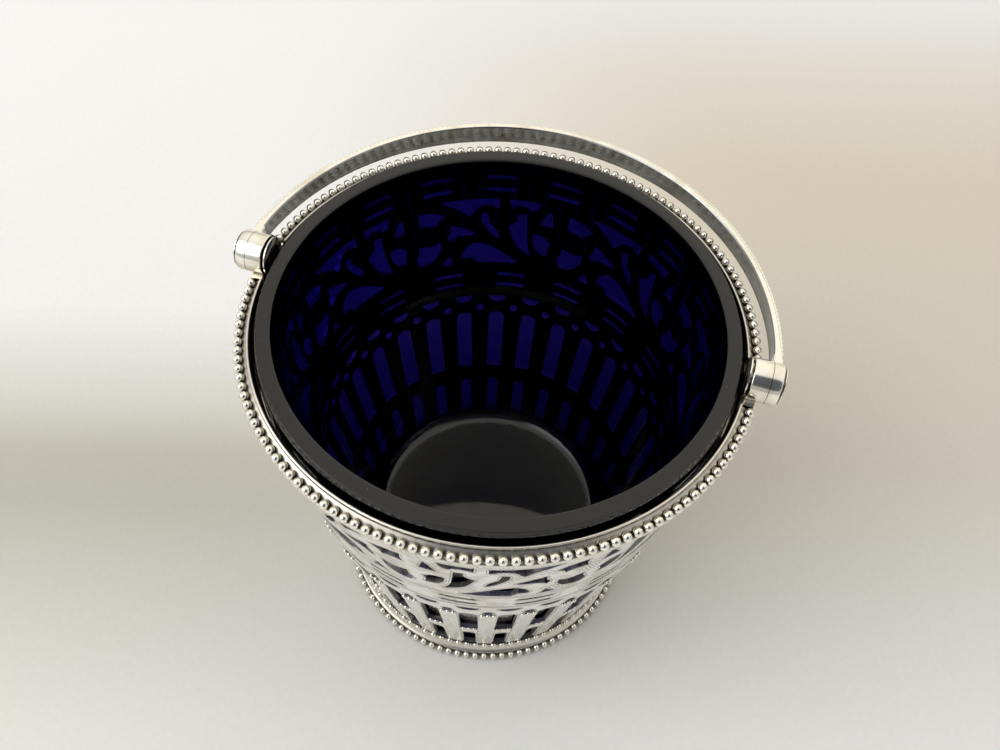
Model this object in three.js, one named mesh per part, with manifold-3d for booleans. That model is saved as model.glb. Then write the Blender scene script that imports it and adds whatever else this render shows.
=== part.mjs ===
// Silver cream pail: a pierced tapering pail with a swing bail and a lift-out blue glass liner.
// Millimetres, +Z up. The origin is the centre of the flat base, on the table. The bail turns about
// an axis along X and lies folded back towards +Y. Angles round the pail are shares of a turn, from +X.
import * as THREE from 'three';
import { mergeGeometries, mergeVertices } from 'three/addons/utils/BufferGeometryUtils.js';
import Module from 'manifold-3d';

const wasm = await Module();
wasm.setup();

// Clearances
const fitGap = 0.3;            // between pieces that are soldered or stand together
const linerGap = 0.35;         // round the glass, so that it lifts out
const hingeGap = 0.2;          // between the two halves of a hinge barrel
const pinClearance = 0.08;     // round a hinge pin
const bailRimGap = 1.9;        // from the rim to the folded bail
const overrun = 1.2;           // how far every cutter passes the metal

// Pierced wall: its outside, which swells a little from the straight taper, most just over the long slits
const wallSheet = 0.8;
const wallFootRadius = 25.5;
const wallTopRadius = 35.95;
const wallTopHeight = 65.0;
const shoulderDrop = 11.5;
const shoulderSwell = 0.73;

// Flat base
const baseThickness = 0.9;

// Foot moulding with its row of beads
const footBandHeight = 4.1;
const footBandSheet = 0.35;
const footLedgeHeight = 2.15;
const footLedgeDepth = 0.3;
const footBeadReach = 1.8;
const footBeadRadius = 0.78;
const footBeadPitch = 1.675;

// Rim moulding with its row of beads. A rise is from the top of the wall, a reach from its outside.
const rimLipInset = 0.45;
const rimLipWidth = 0.45;
const rimLipRise = 2.7;
const rimTroughRise = 1.35;
const rimWireReach = 1.65;
const rimWireRise = 1.5;
const rimWireDepth = 0.6;
const rimBeadReach = 1.05;
const rimBeadRise = 2.15;
const rimBeadRadius = 0.72;
const rimBeadPitch = 1.57;
const beadNeckShare = 0.45;    // of a bead's radius, where it runs into the next

// Hinges of the bail
const lugSeatRise = 1.3;
const lugInset = 0.1;
const lugLength = 2.45;
const lugTabReach = 4.0;
const lugTabThickness = 0.6;
const barrelRise = 2.1;
const barrelRadius = 3.05;
const knuckleLength = 1.5;
const knuckleChamfer = 0.3;
const pinRadius = 1.0;
const pinHeadRadius = 2.4;
const pinHeadThickness = 0.3;
const pinCapRadius = 2.7;
const pinCapThickness = 0.3;

// Bail: a strap with a beaded wire along each edge of its outer face
const strapThickness = 0.9;
const strapEndWidth = 2.7;
const strapMiddleWidth = 3.2;
const bailWireRadius = 0.4;

// Glass liner
const linerRise = 1.35;
const linerThickness = 2.5;
const linerRimBevel = 0.4;
const linerRimWidth = 2.2;
const linerRimChamfer = 0.9;
const linerFloorHeight = 8.4;
const linerFloorDish = 0.9;
const linerCornerHeight = 4.6;
const linerCornerWidth = 3.1;
const linerFootChamfer = 1.5;

// Piercing under the rim: stripes in pairs, then the frieze. Drops are from the top of the wall.
const stripeHeight = 0.75;
const stripeLength = 5.5;
const stripePitch = 2.4;
const upperStripeDrop = 2.35;
const friezeDrop = 5.5;
const friezeHeight = 14.0;

// Piercing under the frieze. Drops are from its lower edge.
const lowerStripeDrop = 3.85;
const lunetteDrop = 8.0;
const lunetteHeight = 1.5;
const lunetteWidth = 3.5;
const dotDrop = 11.0;
const dotRadius = 0.85;
const longSlitDrop = 12.1;
const longSlitWidth = 3.1;
const slitArchRise = 1.2;

// Piercing above the foot. Heights are from the table.
const longSlitFoot = 19.3;
const shortSlitTop = 15.6;
const shortSlitFoot = 4.6;
const shortSlitWidth = 2.25;

// How many openings each row has, and where the hand-set ones are, as [index, share of a turn]
const upperStripeCount = 19;
const upperStripeTurnShares = [[0, 0.2411]];
const lowerStripeCount = 17;
const lowerStripeTurnShares = [[0, 0.2803], [2, 0.4006], [7, 0.7158], [9, 0.8258]];
const friezeCount = 8;
const friezeTurnShares = [[0, 0.2417], [1, 0.3728], [2, 0.5008], [4, 0.7433], [5, 0.8606]];
const slitCount = 30;
const slitTurnShares = [[0, 0.1206], [10, 0.4636], [18, 0.7133], [22, 0.8417]];

// Facets
const roundFacets = 32;
const barrelFacets = 16;
const pinFacets = 10;
const bailSteps = 22;
const wireSides = 4;
const rimBeadSides = 4;
const footBeadSides = 3;
const joinTolerance = 0.01;

// Turns
const fullTurn = 2 * Math.PI;
const quarterTurn = Math.PI / 2;

// One repeat of the scroll frieze. Each opening's corners are shares: along, from one wheel flower's
// centre to the next, and up, from the foot of the frieze to its top.
const friezeShares = {
  bar: [[0.135, 1], [0.33, 1], [0.325, 0.87], [0.165, 0.87]],
  blade: [[0.22, 0.79], [0.275, 0.79], [0.28, 0.68], [0.34, 0.585], [0.285, 0.33], [0.155, 0.14],
    [0.205, 0.4]],
  stem: [[0.475, 0.785], [0.52, 0.77], [0.517, 0.675], [0.475, 0.525], [0.39, 0.38], [0.46, 0.635]],
  beam: [[0.405, 1], [0.79, 1], [0.65, 0.83], [0.6, 0.74], [0.534, 0.883], [0.405, 0.87]],
  arrow: [[0.551, 0.483], [0.725, 0.641], [0.75, 0.455], [0.735, 0.359], [0.676, 0.441]],
  leaf: [[0.242, 0.01], [0.403, 0.221], [0.498, 0.31], [0.572, 0.324], [0.619, 0.255], [0.653, 0.11],
    [0.549, 0.01]],
  tooth: [[0.708, 0.01], [0.748, 0.145], [0.807, 0.01]],
  crown: [[0.754, 0.786], [0.837, 0.869], [0.939, 0.903], [0.934, 0.8], [0.947, 0.69], [0.81, 0.66]],
  shield: [[0.803, 0.414], [0.86, 0.366], [0.951, 0.407], [0.983, 0.193], [0.93, 0.09], [0.801, 0.303]],
  spike: [[0.032, 0.683], [0.065, 0.91], [0.129, 0.683]],
  crescent: [[0.042, 0.207], [0.042, 0.421], [0.108, 0.517], [0.169, 0.51], [0.161, 0.359], [0.11, 0.234]],
};

// Places that follow from the sizes above
const wallFootHeight = baseThickness + fitGap;
const baseRadius = wallFootRadius;
const friezeTop = wallTopHeight - friezeDrop;
const friezeFoot = friezeTop - friezeHeight;
const shoulderHeight = friezeFoot - shoulderDrop;
const footBeadRingRadius = wallFootRadius + footBeadReach;
const rimLipRadius = wallTopRadius - rimLipInset;
const rimLipHeight = wallTopHeight + rimLipRise;
const rimWireRadius = wallTopRadius + rimWireReach;
const rimWireHeight = wallTopHeight + rimWireRise;
const rimBeadRingRadius = wallTopRadius + rimBeadReach;
const rimBeadHeight = wallTopHeight + rimBeadRise;
const lugSeatHeight = wallTopHeight + lugSeatRise;
const hingeHeight = lugSeatHeight + barrelRise;
const lugInnerX = wallTopRadius - lugInset;
const lugOuterX = lugInnerX + lugLength;
const knuckleInnerX = lugOuterX + hingeGap;
const knuckleOuterX = knuckleInnerX + knuckleLength;
const pinHeadX = lugInnerX - fitGap - pinHeadThickness;
const boreRadius = pinRadius + pinClearance;
const bailHalfSpan = knuckleInnerX + hingeGap + strapThickness / 2;
const bailReach = rimWireRadius + bailRimGap + strapThickness / 2;
const linerHeight = rimLipHeight + linerRise;

function interpolate(points, at) {
  const last = points.length - 1;
  let i = 1;
  while (i < last && at > points[i][0]) i += 1;
  const [x0, y0] = points[i - 1];
  const [x1, y1] = points[i];
  return y0 + (y1 - y0) * (at - x0) / (x1 - x0);
}

const taper = [[wallFootHeight, wallFootRadius], [wallTopHeight, wallTopRadius]];
const shoulderRadius = interpolate(taper, shoulderHeight) + shoulderSwell;

function wallRadius(height) {
  return interpolate([taper[0], [shoulderHeight, shoulderRadius], taper[1]], height);
}

// Angles of a row of copies round the pail, spaced by hand between the marked ones
function rowAngles(count, turnShares) {
  const [firstIndex, firstShare] = turnShares[0];
  const marks = [...turnShares, [firstIndex + count, firstShare + 1]];
  return Array.from({ length: count + 1 }, (_, i) => interpolate(marks, i) * fullTurn);
}

function solidFrom(geometry) {
  const bare = geometry.index ? geometry.toNonIndexed() : geometry.clone();
  bare.deleteAttribute('normal');
  bare.deleteAttribute('uv');
  const merged = mergeVertices(bare);
  return new wasm.Manifold(new wasm.Mesh({
    numProp: 3,
    vertProperties: merged.attributes.position.array,
    triVerts: new Uint32Array(merged.index.array),
  }));
}

function geometryFrom(solid) {
  const mesh = solid.getMesh();
  const geometry = new THREE.BufferGeometry();
  geometry.setAttribute('position', new THREE.BufferAttribute(mesh.vertProperties, 3));
  geometry.setIndex(new THREE.BufferAttribute(mesh.triVerts, 1));
  return geometry;
}

// A closed outline of [radius, height] turned about the Z axis
function turned(outline, facets = roundFacets) {
  const points = [...outline, outline[0]].map(([r, z]) => new THREE.Vector2(r, z));
  return new THREE.LatheGeometry(points, facets).rotateX(quarterTurn);
}

// The same about the X axis, for pieces of the hinges: [radius, distance along X]
function turnedOnX(outline, facets) {
  return turned(outline, facets).rotateY(quarterTurn).translate(0, 0, hingeHeight);
}

// A skin over rings of points, each ring with as many points; the ends are closed by flat fans
function loft(rings, isLoop = false) {
  const sides = rings[0].length;
  const index = [];
  const joins = isLoop ? rings.length : rings.length - 1;
  for (let i = 0; i < joins; i += 1) {
    const near = i * sides;
    const far = ((i + 1) % rings.length) * sides;
    for (let j = 0; j < sides; j += 1) {
      const k = (j + 1) % sides;
      index.push(near + j, near + k, far + k, near + j, far + k, far + j);
    }
  }
  if (!isLoop) {
    const end = (rings.length - 1) * sides;
    for (let j = 1; j < sides - 1; j += 1) {
      index.push(0, j + 1, j, end, end + j, end + j + 1);
    }
  }
  const geometry = new THREE.BufferGeometry().setFromPoints(rings.flat());
  geometry.setIndex(index);
  return geometry;
}

// A point at an angle round the pail
function roundPoint(angle, radius, height) {
  return new THREE.Vector3(Math.cos(angle) * radius, Math.sin(angle) * radius, height);
}

// A cutter through the wall for an opening whose corners are [angle, height]
function openingCutter(corners) {
  const flat = corners.map(([angle, height]) => new THREE.Vector2(angle * wallRadius(height), height));
  if (THREE.ShapeUtils.isClockWise(flat)) {
    flat.reverse();
    corners = [...corners].reverse();
  }
  const middle = (Math.min(...corners.map(([a]) => a)) + Math.max(...corners.map(([a]) => a))) / 2;
  const through = roundPoint(middle, 1, 0);
  const shifted = (reach) => corners.map(
    ([angle, height]) => roundPoint(angle, wallRadius(height), height).addScaledVector(through, reach));
  const inner = shifted(-wallSheet - overrun);
  const outer = shifted(overrun);
  const count = corners.length;
  const index = [];
  for (const [a, b, c] of THREE.ShapeUtils.triangulateShape(flat, [])) {
    index.push(count + a, count + b, count + c, a, c, b);
  }
  for (let j = 0; j < count; j += 1) {
    const k = (j + 1) % count;
    index.push(j, k, count + k, j, count + k, count + j);
  }
  const geometry = new THREE.BufferGeometry().setFromPoints([...inner, ...outer]);
  geometry.setIndex(index);
  return geometry;
}

// Corners given in lengths across and up from a centre at an angle on the wall
function placedCorners(angle, height, corners) {
  return corners.map(([across, up]) => [angle + across / wallRadius(height), height + up]);
}

// A row of pairs of stripes, one above the other
function stripeCutters(count, turnShares, height) {
  const [x, z] = [stripeLength / 2, stripeHeight / 2];
  const corners = [[-x, -z], [x, -z], [x, z], [-x, z]];
  const heights = [height + stripePitch / 2, height - stripePitch / 2];
  return rowAngles(count, turnShares).slice(0, count).flatMap(
    (angle) => heights.map((up) => openingCutter(placedCorners(angle, up, corners))));
}

function friezeCutters() {
  const angles = rowAngles(friezeCount, friezeTurnShares);
  const cutters = [];
  for (let i = 0; i < friezeCount; i += 1) {
    const span = angles[i + 1] - angles[i];
    for (const corners of Object.values(friezeShares)) {
      cutters.push(openingCutter(corners.map(
        ([along, up]) => [angles[i] + along * span, friezeFoot + up * friezeHeight])));
    }
  }
  return cutters;
}

// An upright slit with a pointed top
function slitCorners(width, foot, top) {
  const x = width / 2;
  const height = top - foot;
  const spring = height - slitArchRise;
  return [[-x, 0], [x, 0], [x, spring], [0, height], [-x, spring]];
}

// Half-moons over the long slits, their flat side up
function lunetteCorners() {
  const x = lunetteWidth / 2;
  return [[-x, 0], [-x / 2, -lunetteHeight], [x / 2, -lunetteHeight], [x, 0]];
}

function dotCorners() {
  return [[-dotRadius, 0], [0, -dotRadius], [dotRadius, 0], [0, dotRadius]];
}

function slitCutters() {
  const angles = rowAngles(slitCount, slitTurnShares);
  const longSlit = slitCorners(longSlitWidth, longSlitFoot, friezeFoot - longSlitDrop);
  const shortSlit = slitCorners(shortSlitWidth, shortSlitFoot, shortSlitTop);
  const cutters = [];
  for (let i = 0; i < slitCount; i += 1) {
    const between = (angles[i] + angles[i + 1]) / 2;
    cutters.push(openingCutter(placedCorners(angles[i], longSlitFoot, longSlit)));
    cutters.push(openingCutter(placedCorners(angles[i], shortSlitFoot, shortSlit)));
    cutters.push(openingCutter(placedCorners(angles[i], friezeFoot - lunetteDrop, lunetteCorners())));
    cutters.push(openingCutter(placedCorners(between, friezeFoot - dotDrop, dotCorners())));
  }
  return cutters;
}

function piercedWall() {
  const shell = solidFrom(turned([
    [wallFootRadius - wallSheet, wallFootHeight], [wallFootRadius, wallFootHeight],
    [shoulderRadius, shoulderHeight], [wallTopRadius, wallTopHeight],
    [wallTopRadius - wallSheet, wallTopHeight], [shoulderRadius - wallSheet, shoulderHeight],
  ]));
  const cutters = mergeGeometries([
    ...stripeCutters(upperStripeCount, upperStripeTurnShares, wallTopHeight - upperStripeDrop),
    ...friezeCutters(),
    ...stripeCutters(lowerStripeCount, lowerStripeTurnShares, friezeFoot - lowerStripeDrop),
    ...slitCutters(),
  ]);
  return geometryFrom(shell.subtract(solidFrom(cutters)).asOriginal().simplify(joinTolerance));
}

function baseDisc() {
  return turned([[0, 0], [baseRadius, 0], [baseRadius, baseThickness], [0, baseThickness]]);
}

// A plain cove that spreads from the wall to a ledge over the beads, and stands on the table
function footBand() {
  const inner = baseRadius + fitGap;
  const shelf = footBeadRingRadius - footBeadRadius - fitGap;
  const top = wallRadius(footBandHeight) + fitGap;
  const ledge = footBeadRingRadius + footLedgeDepth / 2;
  const underLedge = footLedgeHeight - footLedgeDepth;
  return turned([
    [inner, 0], [shelf, 0], [shelf, underLedge], [ledge, underLedge], [ledge, footLedgeHeight],
    [top + footBandSheet, (footBandHeight + footLedgeHeight) / 2], [top + footBandSheet, footBandHeight],
    [top, footBandHeight], [inner, wallFootHeight],
  ]);
}

// A row of beads run together, each swelling from a narrow neck
function beadRow({ count, from, to, ringRadius, height, beadRadius, sides }) {
  const isLoop = to - from === fullTurn;
  const step = (to - from) / count;
  const rings = [];
  for (let i = 0; i < 2 * count + (isLoop ? 0 : 1); i += 1) {
    const angle = from + i * step / 2;
    const radius = i % 2 ? beadRadius : beadRadius * beadNeckShare;
    rings.push(Array.from({ length: sides }, (_, j) => {
      const turn = -j * fullTurn / sides;
      return roundPoint(angle, ringRadius + Math.cos(turn) * radius, height + Math.sin(turn) * radius);
    }));
  }
  return loft(rings, isLoop);
}

function footBeads() {
  const count = Math.round(fullTurn * footBeadRingRadius / footBeadPitch);
  return beadRow({
    count, from: 0, to: fullTurn, ringRadius: footBeadRingRadius,
    height: footBeadRadius, beadRadius: footBeadRadius, sides: footBeadSides,
  });
}

// The rim's beads stop on each side of the two hinge lugs
function rimBeads(middleAngle) {
  const lugAngle = Math.asin((lugTabReach + fitGap) / rimBeadRingRadius);
  const halfSpan = quarterTurn - lugAngle;
  const count = Math.round(2 * halfSpan * rimBeadRingRadius / rimBeadPitch);
  return beadRow({
    count, from: middleAngle - halfSpan, to: middleAngle + halfSpan, ringRadius: rimBeadRingRadius,
    height: rimBeadHeight, beadRadius: rimBeadRadius, sides: rimBeadSides,
  });
}

// Raised lip inside, a hollow for the beads, and a plain wire below them. It is filed flat where the
// lugs sit, and hollowed inside for the heads of the hinge pins.
function rimBand() {
  const wallInside = wallTopRadius - wallSheet;
  const bottom = wallTopHeight + fitGap;
  const lipOut = rimLipRadius + rimLipWidth;
  const troughRadius = rimBeadRingRadius - rimBeadRadius - fitGap / 2;
  const troughHeight = wallTopHeight + rimTroughRise;
  const band = solidFrom(turned([
    [wallInside, bottom], [wallTopRadius + fitGap, bottom], [rimWireRadius, rimWireHeight - rimWireDepth],
    [rimWireRadius, rimWireHeight], [troughRadius, troughHeight], [troughRadius, rimBeadHeight - fitGap],
    [lipOut, rimLipHeight - fitGap], [lipOut, rimLipHeight], [rimLipRadius, rimLipHeight],
    [wallInside, rimWireHeight],
  ]));
  const filedHeight = rimLipHeight - lugSeatHeight + overrun;
  const filedWidth = 2 * (lugTabReach + fitGap);
  const filed = new THREE.BoxGeometry(2 * (rimWireRadius + overrun), filedWidth, filedHeight)
    .translate(0, 0, lugSeatHeight + filedHeight / 2);
  const hollow = new THREE.CylinderGeometry(
    pinHeadRadius + fitGap, pinHeadRadius + fitGap, 2 * lugInnerX, barrelFacets)
    .rotateZ(quarterTurn).translate(0, 0, hingeHeight);
  return geometryFrom(band.subtract(solidFrom(filed)).subtract(solidFrom(hollow)));
}

// Inner half of a hinge barrel, cut flat at its seat, on a tab that follows the edge of the filed rim
function lug() {
  const seat = lugSeatHeight + fitGap;
  const meet = Math.asin((seat - hingeHeight) / barrelRadius);
  const shape = new THREE.Shape().absarc(0, 0, barrelRadius, meet, Math.PI - meet, false);
  shape.holes.push(new THREE.Path().absarc(0, 0, boreRadius, 0, fullTurn, true));
  const options = { depth: lugLength, bevelEnabled: false, curveSegments: pinFacets };
  const barrel = new THREE.ExtrudeGeometry(shape, options)
    .rotateX(quarterTurn).rotateZ(quarterTurn).translate(lugInnerX, 0, hingeHeight);
  const tab = new THREE.BoxGeometry(lugLength, 2 * lugTabReach, lugTabThickness)
    .translate(lugInnerX + lugLength / 2, 0, seat + lugTabThickness / 2);
  const rimEdge = new THREE.CylinderGeometry(
    rimWireRadius, rimWireRadius, 2 * (lugTabThickness + overrun), roundFacets)
    .rotateX(quarterTurn).translate(0, 0, seat);
  return geometryFrom(solidFrom(barrel).add(solidFrom(tab).intersect(solidFrom(rimEdge))));
}

// A riveted pin: a flat head inside, and a thin cap outside the bail's knuckle
function hingePin() {
  const capInner = knuckleOuterX + hingeGap;
  const capOuter = capInner + pinCapThickness;
  return turnedOnX([
    [0, pinHeadX], [pinHeadRadius, pinHeadX], [pinHeadRadius, pinHeadX + pinHeadThickness],
    [pinRadius, pinHeadX + pinHeadThickness], [pinRadius, capInner], [pinCapRadius, capInner],
    [pinCapRadius, capInner + pinCapThickness / 2], [pinCapRadius - pinCapThickness, capOuter],
    [0, capOuter],
  ], pinFacets);
}

// Outer half of a hinge barrel, which the strap's end runs into
function knuckle() {
  return turnedOnX([
    [boreRadius, knuckleInnerX], [barrelRadius, knuckleInnerX],
    [barrelRadius, knuckleOuterX - knuckleChamfer], [barrelRadius - knuckleChamfer, knuckleOuterX],
    [boreRadius, knuckleOuterX],
  ], barrelFacets);
}

// Rings of a sweep along the bail's half ellipse, from the right-hand end over to the left-hand one.
// The section's points are [outwards, up], and its up values are multiplied by the strap's half width.
function bailRings(startDepth, section) {
  const start = Math.asin(startDepth / bailReach);
  const rings = [];
  for (let i = 0; i <= bailSteps; i += 1) {
    const turn = start + (Math.PI - 2 * start) * i / bailSteps;
    const halfWidth = (strapEndWidth + (strapMiddleWidth - strapEndWidth) * Math.sin(turn)) / 2;
    const centre = new THREE.Vector2(bailHalfSpan * Math.cos(turn), bailReach * Math.sin(turn));
    const out = new THREE.Vector2(bailReach * Math.cos(turn), bailHalfSpan * Math.sin(turn)).normalize();
    rings.push(section(halfWidth).map(([outwards, up]) => new THREE.Vector3(
      centre.x + out.x * outwards, centre.y + out.y * outwards, hingeHeight + up)));
  }
  return rings;
}

function bailStrap() {
  const x = strapThickness / 2;
  const depth = (boreRadius + barrelRadius) / 2;
  const strap = loft(bailRings(depth, (w) => [[-x, -w], [-x, w], [x, w], [x, -w]]));
  const right = solidFrom(knuckle());
  const left = solidFrom(knuckle().rotateZ(Math.PI));
  return geometryFrom(solidFrom(strap).add(right).add(left));
}

// A round wire beside the strap's outer face, along its upper edge (side 1) or lower edge (side -1)
function bailWire(side) {
  const middle = strapThickness / 2 + hingeGap + bailWireRadius;
  const section = (halfWidth) => Array.from({ length: wireSides }, (_, j) => {
    const turn = -j * fullTurn / wireSides;
    return [middle + Math.cos(turn) * bailWireRadius,
      side * (halfWidth - bailWireRadius / 2) + Math.sin(turn) * bailWireRadius];
  });
  return loft(bailRings(barrelRadius + fitGap, section));
}

// Thick glass, straight like the wall round it, with a ground rim and a rounded corner at its floor
function glassLiner() {
  const foot = baseThickness + fitGap;
  const outside = (height) => wallRadius(height) - wallSheet - linerGap;
  const inside = (height) => outside(height) - linerThickness;
  const rimOutside = outside(wallTopHeight);
  const rimInside = rimOutside - linerRimBevel - linerRimWidth;
  const cornerTop = linerFloorHeight + linerCornerHeight;
  const floorRadius = inside(cornerTop) - linerCornerWidth;
  const easing = 1 - Math.SQRT1_2;
  return turned([
    [0, foot], [outside(foot) - linerFootChamfer, foot],
    [outside(foot + linerFootChamfer), foot + linerFootChamfer], [outside(shoulderHeight), shoulderHeight],
    [rimOutside, wallTopHeight], [rimOutside, linerHeight - linerRimChamfer],
    [rimOutside - linerRimBevel, linerHeight], [rimInside + linerRimChamfer / 2, linerHeight],
    [rimInside, linerHeight - linerRimChamfer / 2], [inside(shoulderHeight), shoulderHeight],
    [inside(cornerTop), cornerTop],
    [floorRadius + linerCornerWidth * easing, linerFloorHeight + linerCornerHeight * easing],
    [floorRadius, linerFloorHeight], [0, linerFloorHeight - linerFloorDish],
  ]);
}

const silver = { color: 0xcac7c0, roughness: 0.28, metalness: 1 };
const wornSilver = { color: 0xb4b0a8, roughness: 0.4, metalness: 1 };
const cobaltGlass = { color: 0x0b0d2e, roughness: 0.12, metalness: 0 };

const pail = new THREE.Group();

function addPiece(name, geometry, look) {
  const piece = new THREE.Mesh(geometry, new THREE.MeshStandardMaterial(look));
  piece.name = name;
  pail.add(piece);
  return piece;
}

addPiece('pierced_wall', piercedWall(), silver);
addPiece('base_disc', baseDisc(), silver);
addPiece('foot_band', footBand(), silver);
addPiece('foot_beading', footBeads(), wornSilver);
addPiece('rim_band', rimBand(), silver);
addPiece('rim_beading_back', rimBeads(quarterTurn), wornSilver);
addPiece('rim_beading_front', rimBeads(-quarterTurn), wornSilver);
for (const [side, turn] of [['right', 0], ['left', Math.PI]]) {
  addPiece(`lug_${side}`, lug(), silver).rotation.z = turn;
  addPiece(`hinge_pin_${side}`, hingePin(), silver).rotation.z = turn;
}
addPiece('bail_strap', bailStrap(), silver);
addPiece('bail_wire_upper', bailWire(1), wornSilver);
addPiece('bail_wire_lower', bailWire(-1), wornSilver);
addPiece('glass_liner', glassLiner(), cobaltGlass);

export default pail;
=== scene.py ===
from math import asin, atan2, cos, pi, radians, sin, tau

import bmesh
import bpy
from mathutils import Matrix, Vector
from mathutils.geometry import interpolate_bezier


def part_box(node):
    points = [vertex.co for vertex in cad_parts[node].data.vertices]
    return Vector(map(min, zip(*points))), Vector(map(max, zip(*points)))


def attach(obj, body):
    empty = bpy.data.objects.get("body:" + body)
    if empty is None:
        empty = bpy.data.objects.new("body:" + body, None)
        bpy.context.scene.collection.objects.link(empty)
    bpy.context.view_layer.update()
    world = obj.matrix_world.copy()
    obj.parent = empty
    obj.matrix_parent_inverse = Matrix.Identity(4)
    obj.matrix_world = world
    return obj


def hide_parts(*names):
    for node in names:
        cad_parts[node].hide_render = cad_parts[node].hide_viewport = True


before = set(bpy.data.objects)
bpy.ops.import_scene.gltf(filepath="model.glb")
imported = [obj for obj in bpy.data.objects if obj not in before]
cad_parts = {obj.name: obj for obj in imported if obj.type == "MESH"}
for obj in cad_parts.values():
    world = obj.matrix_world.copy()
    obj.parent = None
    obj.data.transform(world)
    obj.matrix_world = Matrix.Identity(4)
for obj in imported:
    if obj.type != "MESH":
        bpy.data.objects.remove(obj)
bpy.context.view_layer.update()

MM = 0.001
WELD = 0.002 * MM

# Places from the frame
WALL_LOW, WALL_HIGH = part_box("pierced_wall")
RIM_LOW, RIM_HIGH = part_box("rim_band")
FOOT_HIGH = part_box("foot_band")[1]
BASE_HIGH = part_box("base_disc")[1]
LUG_LOW, LUG_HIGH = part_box("lug_right")
PIN_LOW, PIN_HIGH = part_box("hinge_pin_right")
STRAP_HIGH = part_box("bail_strap")[1]
LINER_LOW, LINER_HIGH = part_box("glass_liner")

# Pierced wall
WALL_SHEET = 0.8 * MM
WALL_FOOT_RADIUS = 25.5 * MM
WALL_TOP_RADIUS = WALL_HIGH.x
WALL_FOOT = WALL_LOW.z
WALL_TOP = WALL_HIGH.z
SHOULDER_HEIGHT = 34.0 * MM
SHOULDER_RADIUS = 31.6 * MM
WALL_STEPS = 144
EDGE_BEVEL = 0.09 * MM
CUTTER_START = 1 * MM
CUTTER_LENGTH = 6 * MM

# Rows of openings
STRIPE_HEIGHT = 0.75 * MM
STRIPE_LENGTH = 5.5 * MM
STRIPE_PITCH = 2.4 * MM
UPPER_STRIPES = 62.65 * MM
LOWER_STRIPES = 41.65 * MM
FRIEZE_FOOT = 45.5 * MM
FRIEZE_HEIGHT = 14.0 * MM
LUNETTE_TOP = 37.5 * MM
LUNETTE_DROP = 1.5 * MM
LUNETTE_WIDTH = 3.5 * MM
DOT_HEIGHT = 34.5 * MM
DOT_RADIUS = 0.85 * MM
LONG_SLIT_FOOT = 19.3 * MM
LONG_SLIT_TOP = 33.4 * MM
LONG_SLIT_WIDTH = 3.05 * MM
SHORT_SLIT_FOOT = 4.6 * MM
SHORT_SLIT_TOP = 15.6 * MM
SHORT_SLIT_WIDTH = 2.25 * MM
SLIT_ARCH_RISE = 1.2 * MM
BAR_WIDTH = 2.75 * MM
BAR_THICKNESS = 0.5 * MM
BAR_RELIEF = 0.18 * MM
BAR_EASE = 0.14 * MM
PEARL_RADIUS = 0.38 * MM
PEARL_PITCH = 0.92 * MM
PEARL_SQUASH = 1.1
FOOT_PEARL_RADIUS = 0.52 * MM

# Engraving: heights of the rings between the rows, and where the strokes begin and are full
ENGRAVED_RINGS = [35.9 * MM, 38.6 * MM, 39.1 * MM, 44.4 * MM, 44.9 * MM, 60.1 * MM]
RING_HALF_WIDTH = 0.11 * MM
STROKES_BEGIN = 37 * MM
STROKES_FULL = 41 * MM

# Spacing of each row: index of an opening, and its angle in degrees from the right-hand hinge
UPPER_STRIPE_COUNT = 19
UPPER_STRIPE_MARKS = [(0, 86.8)]
LOWER_STRIPE_COUNT = 17
LOWER_STRIPE_MARKS = [(0, 100.9), (2, 144.2), (7, 257.7), (9, 297.3)]
FRIEZE_COUNT = 8
FRIEZE_MARKS = [(0, 87.0), (1, 134.2), (2, 180.3), (4, 267.6), (5, 309.8)]
SLIT_COUNT = 30
SLIT_MARKS = [(0, 43.4), (10, 166.9), (18, 256.8), (22, 303.0)]

# Rim
LIP_RADIUS = 35.5 * MM
LIP_WIDTH = 0.45 * MM
RIM_WIRE_RADIUS = 0.4 * MM
RIM_BEAD_RADIUS = 0.68 * MM
RIM_BEAD_RING = 37.15 * MM
RIM_BEAD_HEIGHT = 66.95 * MM
RIM_BEAD_PITCH = 1.58 * MM
RIM_GAP_REACH = 4.1 * MM

# Foot
FOOT_BEAD_RADIUS = 0.78 * MM
FOOT_BEAD_RING = 27.3 * MM
FOOT_BEAD_COUNT = 102
FOOT_BEAD_SPAN = tau * (FOOT_BEAD_COUNT - 1) / FOOT_BEAD_COUNT
FOOT_FILLET_RADIUS = 0.22 * MM
FOOT_COVE_RADIUS = 1.45 * MM
FOOT_STRIP_RADIUS = 27.0 * MM

# Hinges and bail
BARREL_RADIUS = 3.05 * MM
HINGE_HEIGHT = LUG_HIGH.z - BARREL_RADIUS
BARREL_STEPS = 64
BORE_RADIUS = 1.08 * MM
PIN_RADIUS = 1.0 * MM
PIN_HEAD_RADIUS = 2.88 * MM
PIN_CAP_RADIUS = 2.7 * MM
PIN_HEAD_THICKNESS = 0.3 * MM
LUG_TAB_THICKNESS = 0.6 * MM
HINGE_GAP = 0.2 * MM
STRAP_THICKNESS = 0.9 * MM
STRAP_END_WIDTH = 2.7 * MM
STRAP_MIDDLE_WIDTH = 3.2 * MM
STRAP_STEPS = 120
STRAP_START = 2.15 * MM
STRAP_EASE = 0.14 * MM
STRAP_HOLLOW = 0.08 * MM
BAIL_WIRE_RADIUS = 0.3 * MM
BAIL_BEAD_RADIUS = 0.36 * MM
BAIL_BEAD_COUNT = 150
BAIL_BEADS_START = 3.4 * MM
STRAP_FLARE = 0.4 * MM
STRAP_FLARE_LENGTH = 3.5 * MM
SEAM = 0.08 * MM
BAIL_HALF_SPAN = 39.15 * MM
BAIL_REACH = STRAP_HIGH.y - STRAP_THICKNESS / 2

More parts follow.
